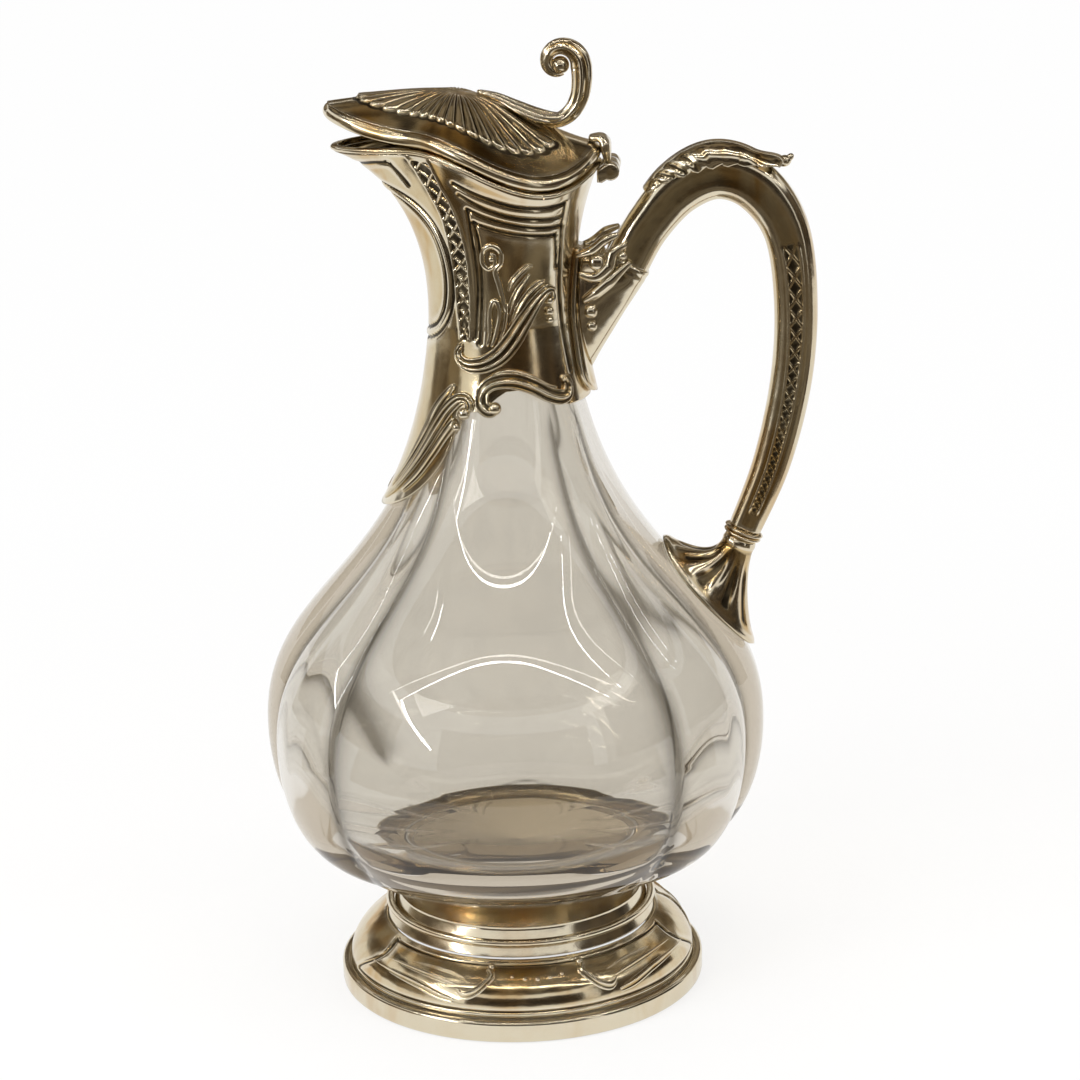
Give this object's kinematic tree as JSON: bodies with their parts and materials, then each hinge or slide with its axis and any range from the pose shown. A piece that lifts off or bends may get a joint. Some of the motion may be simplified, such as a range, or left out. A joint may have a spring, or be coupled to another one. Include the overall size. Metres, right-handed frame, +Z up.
{
  "type": "claret jug",
  "caption": "Claret jug with a lobed clear glass body, cast silver-plated neck mount with a spout, hinged fluted lid with a scrolled thumbpiece, loop handle and round domed foot.",
  "frame": {"origin": "centre of the foot's flat base ring, on the surface that the jug stands on", "axes": "+Z up along the jug's axis; the spout points to -X and the handle to +X; the jug is mirror-symmetric about the XZ plane"},
  "size_m": [0.1653, 0.1488, 0.2849],
  "materials": {
    "glass": "clear blown glass",
    "silver": "polished silver plate, aged to a warm tone",
    "plaster": "plaster bed"
  },
  "bodies": {
    "jug": {"glass_body": "glass", "foot_rim": "silver", "foot_dome": "silver", "foot_sprays": "silver", "foot_cup": "silver", "foot_bead": "silver", "foot_cement": "plaster", "neck_collar": "silver", "collar_lip_wire": "silver", "collar_cement": "plaster", "border_scroll_near": "silver", "border_scroll_far": "silver", "side_spray_near": "silver", "side_spray_far": "silver", "front_leaf_near": "silver", "front_leaf_far": "silver", "handle_strap": "silver", "handle_socket": "silver", "handle_grip": "silver", "handle_leaf": "silver", "handle_ferrule": "silver", "handle_terminal": "silver", "terminal_cement": "plaster", "hinge_ears": "silver", "hinge_pin": "silver"},
    "lid": {"lid_dome": "silver", "lid_rim": "silver", "lid_bezel": "silver", "thumbpiece": "silver", "lid_leaf": "silver"}
  },
  "joints": [
    {"name": "lid_hinge", "type": "hinge", "parent": "jug", "child": "lid", "pos_m": [0.0323, 0, 0.24775], "axis": [0, 1, 0], "range_deg": [0, 80]}
  ]
}
